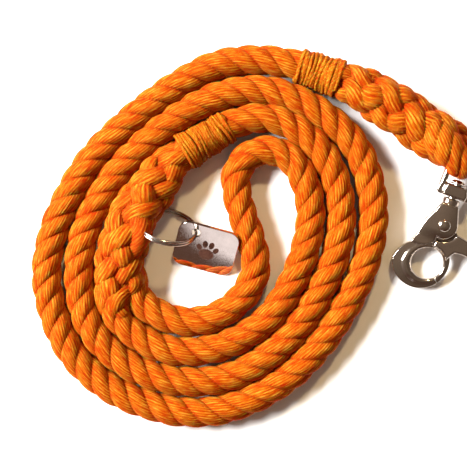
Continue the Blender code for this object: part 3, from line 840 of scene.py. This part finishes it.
def metal_piece(name, mesh, axes, mat, body, slot, *nodes, crease=35):
    """Puts a mesh drawn in its own axes in its place; edges sharper than crease stay sharp."""
    mesh.transform(axes)
    mesh.shade_smooth()
    mesh.set_sharp_from_angle(angle=math.radians(crease))
    mesh.name = name
    return add_piece(name, mesh, mat, body, slot, *nodes)


# ------------------------ snap hook


def jaw_sweep(start, end):
    """A jaw round the opening: a bead by its inner edge, then a nearly flat flange to a sharp rim."""
    gap_x, gap_y = RIM_XY[0], RIM_XY[1] - RING_Y
    profile = smooth_route(JAW_PROFILE, 0.05)
    across = np.concatenate([profile[:, 0], profile[-2:0:-1, 0]])
    lift = np.concatenate([profile[:, 1], -profile[-2:0:-1, 1]])
    full = np.sign(lift) * np.abs(lift) ** 0.35  # the blunter section where the jaw meets the body
    rings = []
    for degrees in np.arange(start, end + 0.01, (end - start) / 60):
        a = math.radians(degrees)
        shift = math.cos(a) * gap_x + math.sin(a) * gap_y
        outer = shift + math.sqrt(shift**2 - gap_x**2 - gap_y**2 + RIM_R**2)
        blend = 1.0
        if degrees > 90:
            outer = min(outer, np.interp(degrees, *JAW_SHOULDER))
            blend = smoothstep((degrees - 118) / 34)
        reach = RING_R + across * (outer - RING_R)
        half = min(JAW_HALF, 1.0 + 0.24 * (outer - RING_R))
        lifted = full + (lift - full) * blend
        rings.append(
            np.column_stack([math.cos(a) * reach, RING_Y + math.sin(a) * reach, lifted * half]) * MM
        )
    return grid_mesh(rings)


def make_hook_frame(mat):
    """Cast body and fixed jaw, with the slot that the trigger turns in."""
    body = [
        (-3.7, 9.6), (-4.6, 8.2), (-6.0, 4.6), (-7.9, 0.9), (-8.6, -1.5), (-8.9, -4.4), (-9.4, -8.4),
        (-10.4, -11.4), (-6.6, -11.4), (-3.6, -10.4), (-1.0, -8.6),
    ]
    body += arc((RIVET_X, 0.0), SHOULDER_R, -104, 8) + [(5.4, 5.0), (3.8, 9.6)]
    neck = turned([(0.0, 12.3), (3.2, 12.3), (3.9, 11.7), (3.9, 6.0), (0.0, 6.0)], axis=Y_AXIS)
    frame_mesh = fuse(
        [jaw_sweep(92, 315.4), rounded_plate([body], BODY_HALF, 1.0), neck], voxel=0.2, passes=9
    )
    crown(frame_mesh)
    slot = arc((RIVET_X, 0.0), 4.9, 25, 250, 10) + [(-1.04, -9.4), (9.5, -9.4), (9.5, 4.2)]
    frame_mesh = cut(frame_mesh, rounded_plate([slot], SLOT_HALF, 0.01, rounds=0))
    return metal_piece(
        "snap_frame", frame_mesh, HOOK_AXES, mat, "hook", "snap_nickel", "hook_frame"
    )


def make_trigger(mat):
    """Moving jaw with its thumb lever, and the tang that the rivet goes through."""
    arm = [(7.2, -14.2), (8.7, -11.6), (9.7, -10.1), (12.5, -9.8), (16.6, -10.0), (18.6, -9.1)]
    arm += [(19.3, -6.9), (18.3, -4.8), (14.5, -3.3), (10.8, -2.5)]
    arm += arc((RIVET_X, 0.0), 7.3, -15, -95) + [(-0.45, -8.3)]
    arm += arc((0.0, RING_Y), 8.0, 94, 30)
    lip = turned([(0.0, 1.1), (0.9, 0.9), (1.25, 0.0), (0.9, -0.9), (0.0, -1.1)])
    lip.transform(
        Matrix.Translation(Vector((17.3, -7.4, 0.0)) * MM)
        @ Matrix.Rotation(math.radians(25), 4, "Z")
        @ Matrix.Diagonal((1.5, 2.4, 2.9, 1.0))
    )
    jaw = fuse(
        [jaw_sweep(-43.4, 90), rounded_plate([arm], JAW_HALF, 1.0), lip], voxel=0.2, passes=9
    )
    tang = arc((RIVET_X, 0.0), 4.4, 5, 255) + arc((RIVET_X, 0.0), 8.2, -93, -16)
    jaw = joined([jaw, rounded_plate([tang], 0.7, 0.15, centre_z=-0.8, rounds=1)])
    return metal_piece("snap_trigger", jaw, HOOK_AXES, mat, "trigger", "snap_nickel", "trigger_jaw")


def make_bail(mat):
    """Closed wire eye on a block, bored for the swivel pin."""
    wide = BAIL_EYE_R + BAIL_WIRE / 2
    line = [(-wide, 13.6), (-wide, 17.0), (-wide, 22.0)]
    line += arc((0.0, BAIL_EYE_Y), wide, 180, 0, 10) + [(wide, 22.0), (wide, 17.0), (wide, 13.6)]
    line = smooth_route(np.array(line), 0.5)
    flat = np.column_stack([line, np.zeros(len(line))])
    ahead = unit(np.gradient(flat, axis=0))
    side = np.cross(ahead, UP)
    section = np.linspace(0.0, math.tau, 24, endpoint=False)
    rings = [
        (p + s * (1.6 * np.cos(section))[:, None] + UP * (1.75 * np.sin(section))[:, None]) * MM
        for p, s in zip(flat, side)
    ]
    base = [
        (-8.0, 13.8), (-6.9, 12.7), (6.9, 12.7), (8.0, 13.8), (7.9, 16.8), (5.2, 18.4), (-5.2, 18.4),
        (-7.9, 16.8),
    ]
    block = [(-5.2, 12.7), (5.2, 12.7), (5.7, 15.0), (4.6, 18.4), (-4.6, 18.4), (-5.7, 15.0)]
    bail = fuse(
        [grid_mesh(rings), rounded_plate([base], 1.75, 0.8), rounded_plate([block], 3.7, 1.1)],
        voxel=0.22, passes=8,
    )
    bore_r = PIN_R + PIN_GAP
    bore = turned([(0.0, 20.0), (bore_r, 20.0), (bore_r, 11.0), (0.0, 11.0)], axis=Y_AXIS)
    bail = cut(bail, bore)
    return metal_piece("snap_bail", bail, HOOK_AXES, mat, "bail", "snap_nickel", "swivel_bail")


def make_fixings(mat, spring_mat):
    """Swivel pin and washer, rivet, and the trigger's spring."""

    def fixing(name, profile, node, axes=HOOK_AXES, axis=Y_AXIS):
        metal_piece(name, turned(profile, axis=axis), axes, mat, "hook", "fixing_steel", node)

    fixing("swivel_post", [
        (0.0, 20.9), (1.2, 20.85), (2.2, 20.6), (2.9, 20.1), (3.1, 19.75), (3.0, 19.6), (PIN_R, 19.6),
        (PIN_R, 7.9), (0.0, 7.9),
    ], "swivel_pin")
    fixing("post_washer", [
        (2.3, 19.2), (2.4, 19.25), (3.6, 19.25), (3.7, 19.15), (3.7, 18.8), (3.6, 18.7), (2.4, 18.7),
        (2.3, 18.8), (2.3, 19.2),
    ], "swivel_washer")
    face = BODY_HALF + 0.05
    dome = [(0.0, face + RIVET_HEAD_RISE)]
    dome += [
        (RIVET_HEAD_R * math.sin(a), face + RIVET_HEAD_RISE * math.cos(a))
        for a in np.linspace(0.15, 1.5, 12)
    ]
    dome += [(RIVET_HEAD_R + 0.01, face - 0.2), (1.6, face - 0.2)]
    at_rivet = HOOK_AXES @ Matrix.Translation(Vector((RIVET_X, 0.0, 0.0)) * MM)
    fixing("rivet_domes", dome + [(r, -z) for r, z in reversed(dome)], "pivot_rivet", at_rivet, None)

    angle = np.linspace(math.radians(200), math.radians(200 + 576), 90)
    coil = np.column_stack([2.75 * np.cos(angle), 2.75 * np.sin(angle), np.linspace(0.45, 1.25, 90)])
    tails = [
        point + np.array([-point[1], point[0], 0.0]) * way
        for point, way in ((coil[0], -0.9), (coil[-1], 0.9))
    ]
    line = np.vstack([tails[0], coil, tails[1]]) * MM
    ahead = unit(np.gradient(line, axis=0))
    out = unit(UP - ahead * (ahead @ UP)[:, None])
    bundle = Bundle()
    bundle.strand(line, np.cross(ahead, out), out, 0.2 * MM, 0.2 * MM, sides=10, ridge=0.0)
    metal_piece(
        "trigger_spring", bundle.mesh("trigger_spring"), at_rivet, spring_mat, "hook", "spring_steel",
        "jaw_spring",
    )


def make_hook_eye(mat):
    """The rope's bight: over the bail's wire, down through the eye and back to the splice."""
    angle = math.radians(WRAP_ANGLE)
    reach = BAIL_EYE_R + BAIL_WIRE / 2
    spot = Vector((-reach * math.cos(angle), BAIL_EYE_Y + reach * math.sin(angle), 0.0)) * MM
    axes = HOOK_AXES @ Matrix.Translation(spot) @ Matrix.Rotation(math.radians(90) - angle, 4, "Z")
    legs = [(17.0, 3.4), (13.0, 4.6), (10.0, 5.6), (EYE_LEG - 1.5, 6.2), (5.0, 6.5), (2.5, 6.5)]
    keys = legs + [
        (-EYE_BEND_R * math.cos(a), EYE_BEND_R * math.sin(a))
        for a in np.radians(np.arange(90, -91, -15))
    ]
    keys += [(y, -z) for y, z in reversed(legs)]
    flat = smooth_route(np.array(keys), 0.5)
    world = np.array(axes @ Matrix.Diagonal((MM, MM, MM, 1.0)))
    local = np.column_stack([np.zeros(len(flat)), flat])
    line = local @ world[:3, :3].T + world[:3, 3]
    above = smoothstep((flat[:, 1] + 1.0) / 5.5)
    thick = 4.3 + 0.5 * above + 0.9 * smoothstep((flat[:, 0] - 1.0) / 6.0)
    side, up, ahead = carried_frames(line, world[:3, 0])
    bundle = Bundle()
    laid_strands(
        bundle, line, side, up, ahead, size=thick * MM / (STRAND_ORBIT + STRAND_OUT),
        lay=19.0 * MM, phase=0.6, broad=1.0 + 0.5 * above,
    )
    return add_piece(
        "hook_eye_strands", bundle.mesh("hook_eye_strands"), mat, "leash", "rope_cotton", "hook_eye"
    )


# ------------------------ split ring and tag


def make_split_ring(mat):
    """Two coils of flattened spring wire, with the step where one climbs on the other."""
    degrees = np.linspace(*COIL_SPAN, 320)
    height = COIL_HALF * (2.0 * smoothstep((degrees - COIL_STEP[0]) / COIL_STEP[1]) - 1.0)
    angle = np.radians(degrees + 150.0)
    line = np.column_stack([SPLIT_R * np.cos(angle), SPLIT_R * np.sin(angle), height]) * MM
    line[:, 2] *= 1.03
    out = np.column_stack([np.cos(angle), np.sin(angle), np.zeros(len(angle))])
    ahead = unit(np.gradient(line, axis=0))
    bundle = Bundle()
    bundle.strand(
        line, np.cross(ahead, out), out, COIL_HALF * MM, COIL_WIDE * MM, sides=16, ridge=0.0, blunt=False
    )
    return metal_piece(
        "split_ring_coils", bundle.mesh("split_ring_coils"), SPLIT_AXES, mat, "ring",
        "ring_nickel", "split_ring",
    )


def tag_outline():
    """Rounded rectangle in millimetres, with the hole's centre at the origin."""
    left, top = TAG_HOLE_IN
    low_x, high_x = TAG_CORNER - left, TAG_SIZE[0] - left - TAG_CORNER
    low_y, high_y = top - TAG_SIZE[1] + TAG_CORNER, top - TAG_CORNER
    corners = [(high_x, high_y), (low_x, high_y), (low_x, low_y), (high_x, low_y)]
    outline = []
    for turn, corner in enumerate(corners):
        outline += arc(corner, TAG_CORNER, 90 * turn, 90 * turn + 90)
    return outline


def make_tag(mat, etched):
    """Polished plate with a plain etched paw."""
    angle = math.radians(TAG_ANGLE)
    spot = Vector((SPLIT_R * math.cos(angle), SPLIT_R * math.sin(angle), 0.0))
    hole = SPLIT_AXES @ (spot * MM)
    axes = (
        Matrix.Translation(hole)
        @ Matrix.Rotation(math.radians(-15.0), 4, "Z")
        @ Matrix.Rotation(math.radians(TAG_TILT), 4, "X")
    )
    plate = rounded_plate([tag_outline(), arc((0.0, 0.0), TAG_HOLE_R, 0, 354)], TAG_HALF, 0.22)
    metal_piece("tag_plate", plate, axes, mat, "tag", "tag_metal", "tag", crease=5)
    shapes = []
    for x, y, wide, tall, turn in (
        (6.6, -9.6, 3.4, 2.7, 0), (2.9, -6.6, 1.15, 1.65, 28), (5.2, -4.5, 1.2, 1.8, 8),
        (8.1, -4.5, 1.2, 1.8, -8), (10.4, -6.6, 1.15, 1.65, -28),
    ):
        c, s = math.cos(math.radians(turn)), math.sin(math.radians(turn))
        shapes.append([
            (x + wide * px * c - tall * py * s, y + wide * px * s + tall * py * c)
            for px, py in arc((0.0, 0.0), 1.0, 0, 350, 10)
        ])
    mark = rounded_plate(shapes, 0.03, 0.005, centre_z=TAG_HALF + 0.02, rounds=0)
    metal_piece("tag_paw", mark, axes, etched, "tag", "tag_metal")


# ------------------------ camera, floor and light


def make_camera():
    """Looks straight down on the coil."""
    data = bpy.data.cameras.new("camera")
    camera = link("camera", data)
    data.sensor_width = SENSOR
    data.lens = SENSOR * CAMERA_HEIGHT / WIDTH_SEEN
    camera.location = (-0.0104, 0.0017, CAMERA_HEIGHT + 0.006)
    bpy.context.scene.camera = camera


def area_light(name, place, size, power, colour):
    """A rectangular light that faces the coil."""
    data = bpy.data.lights.new(name, "AREA")
    data.shape = "RECTANGLE"
    data.size, data.size_y = size
    data.energy = power
    data.color = colour
    lamp = link(name, data)
    lamp.location = place
    lamp.rotation_euler = (-Vector(place)).to_track_quat("-Z", "Y").to_euler()


def make_floor():
    """Plain pale table."""
    mesh = bpy.data.meshes.new("floor")
    mesh.from_pydata([(-3, -3, 0), (3, -3, 0), (3, 3, 0), (-3, 3, 0)], [], [(0, 1, 2, 3)])
    s = Shader("pale_table")
    s.set(Base_Color=(0.86, 0.86, 0.87, 1.0), Roughness=0.6, Specular_IOR_Level=0.2)
    mesh.materials.append(s.mat)
    link("floor", mesh)


def make_room():
    """Warm dim surroundings that the metal reflects, with one small bright pane."""
    world = bpy.data.worlds.new("studio")
    bpy.context.scene.world = world
    world.use_nodes = True
    g = Graph(world.node_tree)
    place = g.node("ShaderNodeTexCoord").outputs["Generated"]
    x, y, z = g.node("ShaderNodeSeparateXYZ", {0: place}).outputs
    height = g.ramp(
        g.span(z, 0.0, 1.0), (0.0, (0.72, 0.58, 0.5)), (0.35, (0.55, 0.43, 0.37)),
        (0.72, (0.34, 0.26, 0.2)), (0.93, (0.33, 0.25, 0.185)), (1.0, (0.45, 0.34, 0.26)),
    )
    left_to_right = g.ramp(
        g.span(x, -1.0, 1.0), (0.0, grey(1.0)), (0.5, (0.9, 0.88, 0.86)), (1.0, (0.42, 0.4, 0.38))
    )
    near = g.ramp(
        g.span(y, -1.0, -0.3), (0.0, (0.3, 0.19, 0.15)), (0.35, (0.45, 0.33, 0.28)), (1.0, grey(1.0))
    )
    room = g.mix("MULTIPLY", 1.0, g.mix("MULTIPLY", 1.0, height, left_to_right), near)
    facing = g.node("ShaderNodeVectorMath", {0: place}, operation="DOT_PRODUCT")
    facing.inputs[1].default_value = (-0.223, -0.866, 0.447)
    pane = g.span(facing.outputs["Value"], 0.9973, 0.9975)
    backdrop = g.nodes["Background"]
    g.links.new(g.mix("MIX", pane, room, (1.7, 1.6, 1.6, 1.0)), backdrop.inputs["Color"])
    backdrop.inputs["Strength"].default_value = 0.8


# ------------------------ assembly

make_camera()
ROPE_COTTON = cotton("rope_cotton_orange", ORANGE)
make_rope("rope_strands", "rope_line", ROPE_ROUTE, END_RISE, ROPE_COTTON, 0.4)
make_rope("handle_loop_strands", "handle_loop", LOOP_ROUTE, 0.0, ROPE_COTTON, 1.7)

SPLICE_COTTON = cotton("splice_cotton_orange", ORANGE)
make_splice(
    "hook_splice_strands", "hook_splice", HOOK_SPLICE, SPLICE_COTTON,
    forward=(5, 54 * MM), backward=(3, 66 * MM),
)
make_splice(
    "handle_splice_strands", "handle_splice", HANDLE_SPLICE, SPLICE_COTTON, keeper=RING_KEEPER,
    forward=(5, 50 * MM), backward=(3, 70 * MM), phase=0.8,
)
TWINE = cotton("twine_orange", ORANGE, streak=(0.9, 0.4), seep=0.5 * MM)
make_whipping(
    "hook_whipping_twine", "hook_whipping", HOOK_WHIP, 15, TWINE,
    (6.9, 7.5, 7.7, 8.3, 8.0), 0.8 * MM, 0.4,
)
make_whipping(
    "handle_whipping_twine", "handle_whipping", HANDLE_WHIP, 19, TWINE,
    (6.8, 7.3, 7.6, 8.4, 8.3), 0.6 * MM, 1.9,
)
make_hook_eye(ROPE_COTTON)

NICKEL = nickel("polished_nickel", (0.5, 0.44, 0.39), 0.13)
make_hook_frame(NICKEL)
make_trigger(NICKEL)
make_bail(NICKEL)
make_fixings(
    nickel("fixing_nickel", (0.55, 0.49, 0.43), 0.1), nickel("spring_wire", (0.42, 0.42, 0.44), 0.28)
)
make_split_ring(nickel("ring_nickel_plate", (0.5, 0.46, 0.42), 0.13))
make_tag(nickel("mirror_tag", (0.66, 0.58, 0.54), 0.02, wear=0.4), etched_metal())

FIBRES = fibres_material()
for piece_stem, fibre_count in (
    ("rope", 18000), ("handle_loop", 7000), ("hook_splice", 6000), ("handle_splice", 8000),
    ("hook_eye", 2000),
):
    make_fuzz(piece_stem, fibre_count, FIBRES)

make_floor()
make_room()
area_light("window", (-0.86, 0.3, 0.78), (0.62, 0.34), 64.0, (1.0, 0.98, 0.95))
area_light("warm_lamp", (0.18, 0.75, 0.8), (0.1, 0.1), 6.0, (1.0, 0.72, 0.35))
bpy.context.scene.view_settings.view_transform = "Standard"
